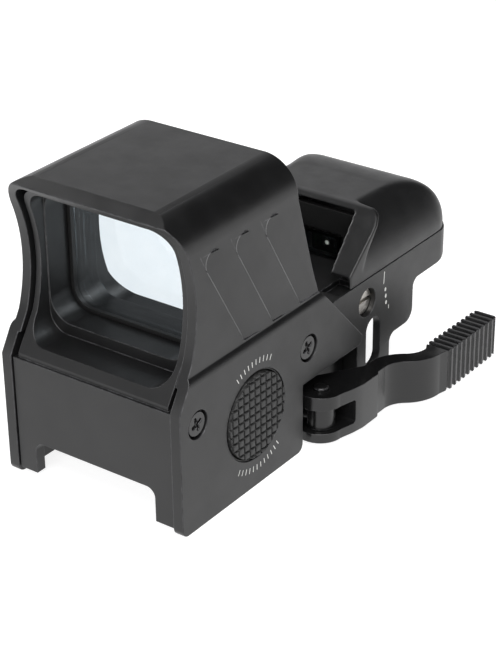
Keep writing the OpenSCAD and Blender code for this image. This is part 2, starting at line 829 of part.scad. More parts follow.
module elevation_screw() color([0.8, 0.78, 0.7]) place() difference() {
    union() {
        rod_z(elevation_x, elevation_y, 25.9, 27.2, 2.4);
        rod_z(elevation_x, elevation_y, 19.7, 26, 1.5);
    }
    box([elevation_x - 3, elevation_x + 3], [elevation_y - 0.35, elevation_y + 0.35], [26.6, 28]);
}

module emitter_carriage() color([0.3, 0.3, 0.32]) place() difference() {
    union() {
        box([-8.4, -3.4], [63.5, 80], [21.7, 24.4]);
        box([-8.4, 8.4], [78, 88], [21.7, 24.4]);
        box([-1.5, 9.5], [78, 84], [21.7, 31.4]);
    }
    rod_z(elevation_x, elevation_y, 20, 26, 1.5 + fit);
    rod_z(0, 85, 21, 23, 1.9);
}

module led_board() color([0.05, 0.3, 0.15]) place() box([-1, 9], [77, 78], [25.2, 31.2]);

module led() color([0.95, 0.9, 0.85]) place() {
    box([led_x - 1.6, led_x + 1.6], [76, 77], [led_z - 1.2, led_z + 1.2]);
    translate([led_x, 76.05, led_z]) rotate([90, 0, 0]) cylinder(h = 0.7, r = 0.9);
}

module windage_spring() color([0.7, 0.7, 0.72]) place() difference() {
    rod_x(-12.2, -9.6, 85, 20.1, 0.9);
    rod_x(-13, -8, 85, 20.1, 0.5);
}

module elevation_spring() color([0.7, 0.7, 0.72]) place() difference() {
    rod_z(0, 85, 20, 22.4, 1.6);
    rod_z(0, 85, 19, 24, 1.1);
}

shield();
housing();
rear_cover();
cover_gasket();
lens();
lens_retainer();
lens_gasket();
emitter_window();
window_frame();
main_board();
board_chip();
switch_body();
button_bezel();
battery();
battery_spring();
shield_screws();
cover_screws();
clamp_base();
base_screws();
recoil_lug();
jaw_spring();
windage_spring();
button_pad();
switch_plunger();
battery_cap();
cap_seal();
cross_bolt();
lever_pin();
lever();
clamp_jaw();
tension_nut();
windage_screw();
windage_slide();
elevation_screw();
emitter_carriage();
led_board();
led();
elevation_spring();
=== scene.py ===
"""Looks of a hooded reflex sight around its CAD model. Metres, +Z up, +Y towards the shooter's eye."""

import math

import bmesh
import bpy
from mathutils import Matrix, Vector


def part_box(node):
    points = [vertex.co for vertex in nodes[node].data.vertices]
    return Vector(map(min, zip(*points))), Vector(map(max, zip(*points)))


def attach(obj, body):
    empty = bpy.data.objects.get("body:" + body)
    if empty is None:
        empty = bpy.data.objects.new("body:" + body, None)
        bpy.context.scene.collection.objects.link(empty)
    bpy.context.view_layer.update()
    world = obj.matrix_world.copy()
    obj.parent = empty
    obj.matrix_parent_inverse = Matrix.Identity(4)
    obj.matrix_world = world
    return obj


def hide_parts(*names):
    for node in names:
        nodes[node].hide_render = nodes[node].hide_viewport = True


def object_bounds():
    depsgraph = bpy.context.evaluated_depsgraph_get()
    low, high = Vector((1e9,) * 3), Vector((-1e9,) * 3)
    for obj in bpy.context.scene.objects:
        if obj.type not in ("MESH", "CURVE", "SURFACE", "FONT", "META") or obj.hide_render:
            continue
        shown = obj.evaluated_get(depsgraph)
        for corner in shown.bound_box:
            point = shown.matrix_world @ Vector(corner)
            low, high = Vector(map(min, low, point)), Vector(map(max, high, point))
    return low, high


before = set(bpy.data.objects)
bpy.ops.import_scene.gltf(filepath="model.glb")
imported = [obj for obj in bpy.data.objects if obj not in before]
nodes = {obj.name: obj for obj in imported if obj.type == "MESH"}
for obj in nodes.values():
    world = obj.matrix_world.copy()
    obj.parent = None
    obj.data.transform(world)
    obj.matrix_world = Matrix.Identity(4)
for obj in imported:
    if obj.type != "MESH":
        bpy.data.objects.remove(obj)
cad_low, cad_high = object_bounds()
# Each node comes with a material named after its slot in the record
slots = {name: obj.data.materials[0].name for name, obj in nodes.items()}

MM = 0.001
# The CAD's own drawing starts at the plates' front edge and under the feet
FRONT_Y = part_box("shield")[0].y
FOOT_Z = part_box("shield")[0].z


def at(x, y, z):
    """A point given in millimetres from the plates' front edge and the feet, in the row frame."""
    return Vector((x * MM, FRONT_Y + y * MM, FOOT_Z + z * MM))


# ---- Camera ----

CAMERA_AZIMUTH = 36.377
CAMERA_ELEVATION = 27.963
CAMERA_ROLL = -0.7
CAMERA_DISTANCE = 440.53 * MM
CAMERA_AIM = at(-18.05, 75.74, -0.15)
LENS_MM = 105.1


def make_camera():
    a, e = math.radians(CAMERA_AZIMUTH), math.radians(CAMERA_ELEVATION)
    back = Vector((math.sin(a) * math.cos(e), -math.cos(a) * math.cos(e), math.sin(e)))
    right = Vector((math.cos(a), math.sin(a), 0))
    up = back.cross(right)
    turn = Matrix.Rotation(math.radians(CAMERA_ROLL), 3, back)
    right, up = turn @ right, turn @ up
    cam = bpy.data.objects.new("camera", bpy.data.cameras.new("camera"))
    bpy.context.scene.collection.objects.link(cam)
    axes = Matrix((right, up, back)).transposed().to_4x4()
    cam.matrix_world = Matrix.Translation(CAMERA_AIM + back * CAMERA_DISTANCE) @ axes
    cam.data.lens = LENS_MM
    cam.data.sensor_width = 36
    cam.data.clip_start = 0.01
    cam.data.clip_end = 20
    bpy.context.scene.camera = cam


# ---- Studio ----

FLOOR_HALF = 4
FLOOR_GAP = 0.02 * MM


def make_floor():
    """Pale plain floor just under the feet, lit a little from itself so that it stays nearly shadowless."""
    mesh = bpy.data.meshes.new("floor")
    corners = [(x * FLOOR_HALF, y * FLOOR_HALF, cad_low.z - FLOOR_GAP)
               for x, y in ((-1, -1), (1, -1), (1, 1), (-1, 1))]
    mesh.from_pydata(corners, [], [(0, 1, 2, 3)])
    floor = bpy.data.objects.new("floor", mesh)
    bpy.context.scene.collection.objects.link(floor)
    mat = bpy.data.materials.new("floor")
    mat.use_nodes = True
    bsdf = mat.node_tree.nodes["Principled BSDF"]
    bsdf.inputs["Base Color"].default_value = (0.4, 0.4, 0.402, 1)
    bsdf.inputs["Roughness"].default_value = 0.9
    bsdf.inputs["Specular IOR Level"].default_value = 0.1
    bsdf.inputs["Emission Color"].default_value = (1, 1, 1, 1)
    bsdf.inputs["Emission Strength"].default_value = 0.86
    mesh.materials.append(mat)


# Dark parts of the surroundings: the way they lie, and the cosines between which they fade in
DARK_SIDES = (((0.42, 0.70, 0.58), 0.50, 0.86), ((-0.35, -0.25, 0.9), 0.74, 0.95))


def make_world():
    """Soft pale surroundings, dark overhead and behind on the right, and white to the camera."""
    world = bpy.data.worlds.new("studio")
    bpy.context.scene.world = world
    world.use_nodes = True
    nt = world.node_tree
    nt.nodes.clear()
    coord = nt.nodes.new("ShaderNodeTexCoord")
    lit = nt.nodes.new("ShaderNodeBackground")
    lit.inputs["Color"].default_value = (0.79, 0.79, 0.8, 1)
    both = nt.nodes.new("ShaderNodeMath")
    both.operation = "MULTIPLY"
    for socket, (towards, pale, dark) in zip(both.inputs, DARK_SIDES):
        dot = nt.nodes.new("ShaderNodeVectorMath")
        dot.operation = "DOT_PRODUCT"
        dot.inputs[1].default_value = Vector(towards).normalized()
        nt.links.new(coord.outputs["Generated"], dot.inputs[0])
        fade = nt.nodes.new("ShaderNodeMapRange")
        fade.interpolation_type = "SMOOTHSTEP"
        for fade_socket, number in zip(fade.inputs[1:5], (pale, dark, 1, 0.03)):
            fade_socket.default_value = number
        nt.links.new(dot.outputs["Value"], fade.inputs[0])
        nt.links.new(fade.outputs[0], socket)
    nt.links.new(both.outputs[0], lit.inputs["Strength"])
    white = nt.nodes.new("ShaderNodeBackground")
    white.inputs["Color"].default_value = (1, 1, 1, 1)
    path = nt.nodes.new("ShaderNodeLightPath")
    mix = nt.nodes.new("ShaderNodeMixShader")
    nt.links.new(path.outputs["Is Camera Ray"], mix.inputs[0])
    nt.links.new(lit.outputs[0], mix.inputs[1])
    nt.links.new(white.outputs[0], mix.inputs[2])
    out = nt.nodes.new("ShaderNodeOutputWorld")
    nt.links.new(mix.outputs[0], out.inputs["Surface"])


def area_light(name, where, size, watts, colour=(1, 1, 1)):
    light = bpy.data.lights.new(name, "AREA")
    light.shape = "RECTANGLE"
    light.size, light.size_y = size
    light.energy = watts
    light.color = colour
    lamp = bpy.data.objects.new(name, light)
    bpy.context.scene.collection.objects.link(lamp)
    lamp.location = where
    aim = (cad_low + cad_high) / 2
    lamp.rotation_mode = "QUATERNION"
    lamp.rotation_quaternion = (aim - Vector(where)).to_track_quat("-Z", "Y")
    return lamp


def make_studio():
    make_floor()
    make_world()
    area_light("top_softbox", (0.35, -0.3, 0.75), (0.5, 0.5), 6)
    area_light("front_card", (0.3, -1.0, 0.5), (0.6, 0.5), 5)
    area_light("left_card", (-0.9, 0.1, 0.5), (0.5, 0.6), 4)
    scene = bpy.context.scene
    scene.view_settings.view_transform = "Standard"
    scene.view_settings.look = "None"


# ---- Material helpers ----

class Shader:
    """A material with a Principled shader and short ways to add texture nodes in object space."""

    def __init__(self, name, base, roughness, metallic=0.0, specular=0.5):
        self.mat = bpy.data.materials.new(name)
        self.mat.use_nodes = True
        self.tree = self.mat.node_tree
        self.bsdf = self.tree.nodes["Principled BSDF"]
        self.set("Base Color", (*base, 1))
        self.set("Roughness", roughness)
        self.set("Metallic", metallic)
        self.set("Specular IOR Level", specular)
        self.coord = self.node("ShaderNodeTexCoord").outputs["Object"]

    def set(self, socket, value):
        self.bsdf.inputs[socket].default_value = value

    def node(self, kind, **settings):
        made = self.tree.nodes.new(kind)
        for key, value in settings.items():
            setattr(made, key, value)
        return made

    def link(self, a, b):
        self.tree.links.new(a, b)

    def noise(self, size_mm, detail=3.0, roughness=0.55, stretch=(1, 1, 1)):
        """Noise whose features are about size_mm across."""
        noise = self.node("ShaderNodeTexNoise")
        noise.inputs["Scale"].default_value = 1 / (size_mm * MM)
        noise.inputs["Detail"].default_value = detail
        noise.inputs["Roughness"].default_value = roughness
        mapping = self.node("ShaderNodeMapping")
        mapping.inputs["Scale"].default_value = stretch
        self.link(self.coord, mapping.inputs["Vector"])
        self.link(mapping.outputs[0], noise.inputs["Vector"])
        return noise.outputs["Fac"]

    def cells(self, size_mm, feature="F1"):
        cells = self.node("ShaderNodeTexVoronoi", feature=feature)
        cells.inputs["Scale"].default_value = 1 / (size_mm * MM)
        self.link(self.coord, cells.inputs["Vector"])
        return cells.outputs["Distance"]

    def remap(self, value, low, high, to_low, to_high):
        remap = self.node("ShaderNodeMapRange")
        for socket, number in zip(remap.inputs[1:5], (low, high, to_low, to_high)):
            socket.default_value = number
        self.link(value, remap.inputs[0])
        return remap.outputs[0]

    def times(self, a, b):
        product = self.node("ShaderNodeMath", operation="MULTIPLY")
        self.link(a, product.inputs[0])
        if isinstance(b, (int, float)):
            product.inputs[1].default_value = b
        else:
            self.link(b, product.inputs[1])
        return product.outputs[0]

    def mix(self, share, a, b):
        """Colour that goes from a to b as share goes from 0 to 1; a or b may be a socket."""
        mix = self.node("ShaderNodeMix", data_type="RGBA")
        self.link(share, mix.inputs["Factor"])
        for socket, colour in ((mix.inputs[6], a), (mix.inputs[7], b)):
            if isinstance(colour, tuple):
                socket.default_value = (*colour, 1)
            else:
                self.link(colour, socket)
        return mix.outputs[2]

    def bump(self, *heights):
        """Stacks (height socket, depth in mm) pairs into one bump."""
        normal = None
        for height, depth in heights:
            bump = self.node("ShaderNodeBump")
            bump.inputs["Distance"].default_value = depth * MM
            self.link(height, bump.inputs["Height"])
            if normal is not None:
                self.link(normal, bump.inputs["Normal"])
            normal = bump.outputs[0]
        self.link(normal, self.bsdf.inputs["Normal"])

    def edges(self, radius_mm, low=0.006, high=0.06):
        """About 1 along convex and concave edges and 0 on flat ground."""
        soft = self.node("ShaderNodeBevel", samples=4)
        soft.inputs["Radius"].default_value = radius_mm * MM
        geometry = self.node("ShaderNodeNewGeometry")
        dot = self.node("ShaderNodeVectorMath", operation="DOT_PRODUCT")
        self.link(soft.outputs[0], dot.inputs[0])
        self.link(geometry.outputs["Normal"], dot.inputs[1])
        return self.remap(dot.outputs["Value"], 1 - low, 1 - high, 0, 1)


def metal_paint(name, base, roughness, grain_mm=0.09, grain_depth=0.004, patch=0.2, wear=0.0,
                worn=(0.16, 0.16, 0.17), specular=0.5):
    """Satin dark finish on metal: fine grain, faint patches, paler where edges have rubbed."""
    s = Shader(name, base, roughness, specular=specular)
    broad = s.noise(14, 3)
    fine = s.noise(grain_mm, 2, 0.6)
    darker = tuple(c * (1 - patch) for c in base)
    paler = tuple(c * (1 + patch) for c in base)
    colour = s.mix(s.remap(broad, 0.35, 0.65, 0, 1), darker, paler)
    if wear:
        rubbed = s.times(s.edges(0.22), s.remap(s.noise(1.6, 4, 0.7), 0.35, 0.7, 0, wear))
        colour = s.mix(rubbed, colour, worn)
    s.link(colour, s.bsdf.inputs["Base Color"])
    smudge = s.noise(5, 4, 0.6)
    s.link(s.remap(smudge, 0.3, 0.7, roughness - 0.05, roughness + 0.05), s.bsdf.inputs["Roughness"])
    s.bump((broad, 0.03), (fine, grain_depth))
    return s.mat


def bare_metal(name, base, roughness, lines_mm=0.12, lines=(1, 1, 1), tarnish=0.35):
    """Turned or drawn metal with fine lines and a little tarnish."""
    s = Shader(name, base, roughness, metallic=1.0)
    broad = s.noise(3, 4, 0.6)
    dull = tuple(c * (1 - tarnish) for c in base)
    s.link(s.mix(s.remap(broad, 0.4, 0.7, 0, 1), base, dull), s.bsdf.inputs["Base Color"])
    turned = s.noise(lines_mm, 2, 0.5, lines)
    s.link(s.remap(broad, 0.3, 0.7, roughness - 0.06, roughness + 0.08), s.bsdf.inputs["Roughness"])
    s.bump((turned, 0.004))
    return s.mat


def rubber(name, base, roughness=0.62, pore_mm=0.14):
    """Moulded rubber: matt, with fine pores and dusty high spots."""
    s = Shader(name, base, roughness, specular=0.4)
    dust = s.noise(2.2, 4, 0.65)
    dusty = tuple(c * 1.8 + 0.006 for c in base)
    s.link(s.mix(s.remap(dust, 0.5, 0.8, 0, 0.5), base, dusty), s.bsdf.inputs["Base Color"])
    s.link(s.remap(dust, 0.3, 0.7, roughness - 0.06, roughness + 0.08), s.bsdf.inputs["Roughness"])
    s.bump((s.noise(pore_mm, 3, 0.6), 0.01), (s.noise(1.2, 2), 0.012))
    return s.mat


def plastic(name, base, roughness, grain_mm=0.16, depth=0.006):
    """Moulded plastic with a fine spark-eroded grain."""
    s = Shader(name, base, roughness, specular=0.5)
    broad = s.noise(9, 3)
    darker, paler = tuple(c * 0.85 for c in base), tuple(c * 1.15 for c in base)
    s.link(s.mix(broad, darker, paler), s.bsdf.inputs["Base Color"])
    s.link(s.remap(s.noise(4, 3), 0.3, 0.7, roughness - 0.04, roughness + 0.04), s.bsdf.inputs["Roughness"])
    s.bump((s.cells(grain_mm), depth), (broad, 0.02))
    return s.mat


def mirror_glass(name):
    """Lens with a strong, faintly blue reflecting coat; part of the light goes through."""
    duller, brighter = (0.66, 0.73, 0.77), (0.76, 0.81, 0.84)
    s = Shader(name, brighter, 0.0, metallic=1.0)
    s.link(s.mix(s.noise(6, 3, 0.6), duller, brighter), s.bsdf.inputs["Base Color"])
    s.link(s.remap(s.noise(1.5, 4, 0.6), 0.35, 0.7, 0.0, 0.012), s.bsdf.inputs["Roughness"])
    s.set("Alpha", 0.8)
    return s.mat


def clear_glass(name, base, roughness=0.02):
    """Plain glass with faint smears."""
    s = Shader(name, base, roughness)
    s.set("Transmission Weight", 1.0)
    s.set("IOR", 1.5)
    s.link(s.remap(s.noise(2.5, 4, 0.6), 0.4, 0.7, roughness, roughness + 0.05), s.bsdf.inputs["Roughness"])
    return s.mat


def circuit_board(name):
    """Green solder mask over copper tracks, in a small grid of right-angled runs."""
    mask, track = (0.002, 0.012, 0.006), (0.006, 0.03, 0.013)
    s = Shader(name, mask, 0.35)
    tracks = s.node("ShaderNodeTexBrick")
    tracks.inputs["Scale"].default_value = 1 / (2.4 * MM)
    tracks.inputs["Mortar Size"].default_value = 0.05
    s.link(s.coord, tracks.inputs["Vector"])
    runs = s.remap(tracks.outputs["Fac"], 0, 1, 0, 1)
    s.link(s.mix(runs, mask, track), s.bsdf.inputs["Base Color"])
    s.bump((runs, 0.03), (s.noise(0.2, 2), 0.005))
    return s.mat


def led_lamp(name):
    """Dark package with a small bright dome in its middle."""
    package, phosphor = (0.02, 0.02, 0.021), (0.8, 0.76, 0.7)
    s = Shader(name, package, 0.3)
    low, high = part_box("led")
    offset = s.node("ShaderNodeVectorMath", operation="DISTANCE")
    s.link(s.coord, offset.inputs[0])
    offset.inputs[1].default_value = Vector(((low.x + high.x) / 2, low.y, (low.z + high.z) / 2))
    dome = s.remap(offset.outputs["Value"], 0.35 * MM, 0.6 * MM, 1, 0)
    s.link(s.mix(dome, package, phosphor), s.bsdf.inputs["Base Color"])
    s.set("Emission Color", (1, 0.95, 0.88, 1))
    s.link(s.times(dome, 0.25), s.bsdf.inputs["Emission Strength"])
    s.bump((s.noise(0.8, 2), 0.01))
    return s.mat


def ink(name, base):
    """Printed mark: thin, slightly broken paint."""
    s = Shader(name, base, 0.55)
    speckle = s.noise(0.12, 3, 0.7)
    worn = tuple(c * 0.55 for c in base)
    s.link(s.mix(s.remap(speckle, 0.62, 0.75, 0, 1), base, worn), s.bsdf.inputs["Base Color"])
    s.bump((speckle, 0.006))
    return s.mat


def make_materials():
    """One material for each of the record's slots, one for the pale paint that stands in for the highlight
    along the flutes' front edges, and one for the printed marks.
    """
    satin = (0.0058, 0.0058, 0.006)
    return {
        "shield_alloy": metal_paint("shield_alloy", satin, 0.36, wear=1.0, specular=0.42),
        "casting": metal_paint("casting", satin, 0.38, 0.14, 0.007, wear=0.7, specular=0.42),
        "cover_plastic": plastic("cover_plastic", (0.007, 0.007, 0.0073), 0.4),
        "rubber_black": rubber("rubber_black", (0.005, 0.005, 0.005)),
        "coated_glass": mirror_glass("coated_glass"),
        "clear_glass": clear_glass("clear_glass", (0.85, 0.95, 0.95)),
        "inner_black": metal_paint("inner_black", (0.0025, 0.0025, 0.0025), 0.5, 0.12, 0.008),
        "board_green": circuit_board("board_green"),
        "chip_black": plastic("chip_black", (0.015, 0.015, 0.016), 0.45, 0.1, 0.004),
        "battery_steel": bare_metal("battery_steel", (0.62, 0.62, 0.63), 0.28, 0.1, (1, 20, 20)),
        "contact_brass": bare_metal("contact_brass", (0.72, 0.58, 0.30), 0.3),
        "screw_black": metal_paint("screw_black", (0.005, 0.005, 0.0052), 0.22, 0.08, 0.004, wear=0.8),
        "clamp_alloy": metal_paint("clamp_alloy", (0.005, 0.005, 0.0053), 0.32, 0.1, 0.005, wear=0.6),
        "steel": bare_metal("steel", (0.55, 0.55, 0.56), 0.3),
        "spring_steel": bare_metal("spring_steel", (0.6, 0.6, 0.6), 0.25, 0.06),
        "lever_alloy": metal_paint("lever_alloy", (0.006, 0.006, 0.0062), 0.2, 0.16, 0.004, wear=0.3),
        "button_rubber": rubber("button_rubber", (0.02, 0.02, 0.02), 0.5),
        "plunger_red": plastic("plunger_red", (0.35, 0.03, 0.03), 0.4, 0.1, 0.003),
        "adjuster_brass": bare_metal("adjuster_brass", (0.80, 0.77, 0.72), 0.3, 0.35, tarnish=0.15),
        "carriage_alloy": metal_paint("carriage_alloy", (0.09, 0.09, 0.095), 0.38, 0.1, 0.006),
        # pale grey for the beads that paint the highlight along the flutes' front edges
        "flute_highlight_paint": metal_paint("flute_highlight_paint", (0.085, 0.085, 0.086), 0.42, wear=0.3),
        "mark_ink": ink("mark_ink", (0.62, 0.62, 0.6)),
        "led_white": led_lamp("led_white"),
    }


# ---- Mesh helpers ----

# Points this close together, in millimetres, become one
WELD_REACH = 0.001


def add_piece(name, verts, faces, material, body, slot_name, smooth=True):
    """A mesh piece from points in the row frame, riding with a CAD body."""
    mesh = bpy.data.meshes.new(name)
    mesh.from_pydata([tuple(v) for v in verts], [], faces)
    bm = bmesh.new()
    bm.from_mesh(mesh)
    bmesh.ops.remove_doubles(bm, verts=bm.verts, dist=WELD_REACH * MM)
    bmesh.ops.recalc_face_normals(bm, faces=bm.faces)
    bm.to_mesh(mesh)
    bm.free()
    for face in mesh.polygons:
        face.use_smooth = smooth
    mesh.materials.append(material)
    obj = bpy.data.objects.new(name, mesh)
    bpy.context.scene.collection.objects.link(obj)
    if body:
        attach(obj, body)
    return obj


def prism(outline, low, high, along):
    """(verts, faces) of an outline drawn out from low to high; along(u, v, w) gives each point."""
    count = len(outline)
    verts = [along(u, v, w) for w in (low, high) for u, v in outline]
    faces = [tuple(range(count)), tuple(range(2 * count - 1, count - 1, -1))]
    faces += [(i, i + count, (i + 1) % count + count, (i + 1) % count) for i in range(count)]
    return verts, faces


def tube_faces(first, rings, sides):
    """Faces of a closed tube whose rings of points follow each other from index first."""
    last = first + (rings - 1) * sides
    faces = []
    for start in range(first, last, sides):
        for k in range(sides):
            a, b = start + k, start + (k + 1) % sides
            faces.append((a, b, b + sides, a + sides))
    return faces + [tuple(range(first, first + sides)), tuple(range(last, last + sides))]


def rounded_rect(u0, v0, u1, v1, r, steps=6):
    """Outline points, anticlockwise, with corners of radius r."""
    corners = ((u1 - r, v1 - r, 0), (u0 + r, v1 - r, 90), (u0 + r, v0 + r, 180), (u1 - r, v0 + r, 270))
    points = []
    for u, v, start in corners:
        for i in range(steps + 1):
            a = math.radians(start + 90 * i / steps)
            points.append((u + r * math.cos(a), v + r * math.sin(a)))
    return points


def combine(obj, operation, *others):
    """Adds or cuts away helper solids, which are then removed."""
    for other in others:
        change = obj.modifiers.new(other.name, "BOOLEAN")
        change.operation = operation
        change.object = other
        change.solver = "EXACT"
    bpy.context.view_layer.update()
    done = bpy.data.meshes.new_from_object(obj.evaluated_get(bpy.context.evaluated_depsgraph_get()))
    obj.modifiers.clear()
    obj.data = done
    for other in others:
        bpy.data.objects.remove(other)


def round_off(obj, width_mm, angle=32, segments=3):
    """Small rounds on the sharp edges, with the broad faces kept flat in shading."""
    bevel = obj.modifiers.new("round_edges", "BEVEL")
    bevel.width = width_mm * MM
    bevel.segments = segments
    bevel.limit_method = "ANGLE"
    bevel.angle_limit = math.radians(angle)
    bevel.use_clamp_overlap = False
    bevel.loop_slide = False
    bevel.miter_outer = "MITER_ARC"
    normals = obj.modifiers.new("normals", "WEIGHTED_NORMAL")
    normals.mode = "FACE_AREA"
    normals.weight = 100


def soften(obj, grain_mm, rounds):
    """Rounds a solid over like a moulding: rebuilt in small even faces, then relaxed."""
    even = obj.modifiers.new("even_faces", "REMESH")
    even.mode = "VOXEL"
    even.voxel_size = grain_mm * MM
    even.use_smooth_shade = True
    relax = obj.modifiers.new("relax", "SMOOTH")
    relax.factor = 0.5
    relax.iterations = rounds


# ---- Rear cover ----

# Outline at the deck, the crest's smaller outline, then the sloped front frame and what is cut out
COVER_HALF = 19.4
COVER_DECK = 27.0
COVER_TOP = 40.3
COVER_REAR = 102.0
COVER_CORNER = 6.5
COVER_FLANGE = 1.4
CREST_HALF = 11.0
CREST_REAR = 86.0
CREST_CORNER = 3.0
FRAME_Y = 60.6
FRAME_KNEE = 30.0
FRAME_LEAN = 12 / (COVER_TOP - FRAME_KNEE)
FRAME_CORNER = 3.2
FRAME_DEPTH = 1.2
LOW_CAVITY_HALF = 14.8
HIGH_CAVITY_HALF = 11.0
OPENING_FOOT_HALF = 14.9
OPENING_TOP_HALF = 13.1
OPENING_BACK = 74.6
NOTCH_TOP = 29.6
NOTCH_BACK = 64.0
FLANK_BULGE = 1.55
REAR_BULGE = 2.2
ROOF_FALL = 0.6 / (CREST_REAR - FRAME_Y - 12)


def frame_front(z):
    """How far back the sloped front frame is at height z."""
    return FRAME_Y + max(0.0, z - FRAME_KNEE) * FRAME_LEAN


def roof(y):
    """Height of the cover's top, which falls a little towards the rear."""
    return COVER_TOP - ROOF_FALL * max(0.0, y - FRAME_Y - 12)


def smooth_step(x):
    x = min(1.0, max(0.0, x))
    return x * x * (3 - 2 * x)


def cover_column(edge, crest, shoulder_z, bulge):
    """Points (x, y, z) up the cover's skin: upright to the shoulder, then over to the crest.

    bulge is the crown's exponent: 2 for a quarter of an ellipse, less for a slanted flank.
    """
    edge, crest = Vector(edge), Vector(crest)
    points = [(*edge, COVER_DECK), (*edge, COVER_DECK + COVER_FLANGE)]
    for i in range(1, 5):
        points.append((*edge, COVER_DECK + COVER_FLANGE + (shoulder_z - COVER_DECK - COVER_FLANGE) * i / 4))
    for i in range(1, 21):
        a = math.radians(90 * i / 20)
        out, up = max(0.0, math.cos(a)) ** (2 / bulge), math.sin(a) ** (2 / bulge)
        points.append((*edge.lerp(crest, 1 - out), shoulder_z + (roof(crest.y) - shoulder_z) * up))
    return points


def cover_columns():
    """Columns round the right half of the cover, from the front frame to the middle of the rear."""
    columns = []
    side_steps = 36
    corner_y = COVER_REAR - COVER_CORNER
    crest_corner_y = CREST_REAR - CREST_CORNER
    shoulder = COVER_DECK + COVER_FLANGE + 0.3
    for i in range(side_steps + 1):
        share = i / side_steps
        # behind the frame the wall draws in from the frame's outline to the cover's own
        drawn = smooth_step(share * 7)
        crest_x = COVER_HALF - FRAME_CORNER + (CREST_HALF - COVER_HALF + FRAME_CORNER) * drawn
        shoulder_z = COVER_TOP - FRAME_CORNER + (shoulder - COVER_TOP + FRAME_CORNER) * drawn
        column = cover_column((COVER_HALF, 0), (crest_x, 0), shoulder_z, 2 + (FLANK_BULGE - 2) * drawn)
        rows = len(column) - 1
        placed = []
        for k, (x, _, z) in enumerate(column):
            rear_y = corner_y + (crest_corner_y - corner_y) * k / rows
            y = (frame_front(z) + 0.7) * (1 - share) + rear_y * share
            fall = (COVER_TOP - roof(y)) * max(0.0, z - shoulder_z) / (COVER_TOP - shoulder_z)
            placed.append((x, y, z - fall))
        columns.append(placed)
    for i in range(1, 19):
        a = math.radians(5 * i)
        out = Vector((math.cos(a), math.sin(a)))
        edge = Vector((COVER_HALF - COVER_CORNER, corner_y)) + COVER_CORNER * out
        crest = Vector((CREST_HALF - CREST_CORNER, crest_corner_y)) + CREST_CORNER * out
        bulge = FLANK_BULGE + (REAR_BULGE - FLANK_BULGE) * smooth_step(i / 12)
        columns.append(cover_column(edge, crest, shoulder, bulge))
    columns.append(cover_column((0, COVER_REAR), (0, CREST_REAR), shoulder, REAR_BULGE))
    return columns


def cover_body():
    """Closed solid of the cover behind its front frame."""
    right = cover_columns()
    columns = right + [[(-x, y, z) for x, y, z in column] for column in reversed(right[:-1])]
    rows = len(columns[0])
    verts = [at(*p) for column in columns for p in column]
    faces = []
    for i in range(len(columns) - 1):
        for k in range(rows - 1):
            a = i * rows + k
            faces.append((a, a + rows, a + rows + 1, a + 1))
    last = (len(columns) - 1) * rows
    faces.append(tuple(i * rows for i in range(len(columns))))
    faces.append(tuple(i * rows + rows - 1 for i in range(len(columns))))
    # the front end, hidden in the frame
    faces += [(k, k + 1, last + k + 1, last + k) for k in range(rows - 1)]
    return verts, faces


def cover_frame():
    """Closed solid of the sloped front frame."""
    corner = FRAME_CORNER
    outline = [(COVER_HALF, COVER_DECK), (COVER_HALF, FRAME_KNEE)]
    for i in range(9):
        a = math.radians(90 * i / 8)
        outline.append((COVER_HALF - corner * (1 - math.cos(a)), COVER_TOP - corner * (1 - math.sin(a))))
    half = len(outline)
    verts = []
    for back in (0, FRAME_DEPTH):
        for side in (1, -1):
            verts += [at(side * x, frame_front(z) + back, z) for x, z in outline]
    faces = []
    for k in range(half - 1):
        faces.append((k, k + 1, half + k + 1, half + k))
        faces.append((2 * half + k, 2 * half + k + 1, 3 * half + k + 1, 3 * half + k))
    for start in (0, half):
        faces += [(k, k + 1, k + 1 + 2 * half, k + 2 * half) for k in range(start, start + half - 1)]
    faces.append((half - 1, 2 * half - 1, 4 * half - 1, 3 * half - 1))
    faces.append((0, half, 3 * half, 2 * half))
    return verts, faces


def cover_cuts(solid):
    """The hollow in two steps, the opening through the front frame and a notch beside each of its feet."""

    def along_x(u, v, w):
        return at(w, u, v)

    def along_y(u, v, w):
        return at(u, w, v)

    below = COVER_DECK - 1
    back = COVER_REAR - 6
    low = [(62.3, below), (62.3, FRAME_KNEE), (65.5, 33), (back, 33), (back, below)]
    high = [(65.5, 32), (71.8, COVER_TOP - 1.8), (CREST_REAR, COVER_TOP - 3), (COVER_REAR - 8, 32)]
    opening = [(-OPENING_FOOT_HALF, below), (OPENING_FOOT_HALF, below),
               (OPENING_TOP_HALF, COVER_TOP - 1), (-OPENING_TOP_HALF, COVER_TOP - 1)]
    cuts = [solid("low_cavity", prism(low, -LOW_CAVITY_HALF, LOW_CAVITY_HALF, along_x)),
            solid("high_cavity", prism(high, -HIGH_CAVITY_HALF, HIGH_CAVITY_HALF, along_x)),
            solid("opening", prism(opening, 50, OPENING_BACK, along_y))]
    for side in (1, -1):
        u0, u1 = sorted((side * 14, side * (COVER_HALF - 0.5)))
        notch = rounded_rect(u0, COVER_DECK - 3, u1, NOTCH_TOP, 1.2)
        cuts.append(solid("notch", prism(notch, 50, NOTCH_BACK, along_y)))
    return cuts


def make_rear_cover(material):
    """Moulded cover over the emitter, smoother than the CAD's."""

    def solid(name, shape):
        return add_piece(name, *shape, material, None, None)

    cover = solid("rear_cover_shell", cover_body())
    combine(cover, "UNION", solid("frame_part", cover_frame()))
    combine(cover, "DIFFERENCE", *cover_cuts(solid))
    cover.data.materials.clear()
    cover.data.materials.append(material)
    soften(cover, 0.25, 10)
    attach(cover, "sight")
    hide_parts("rear_cover")
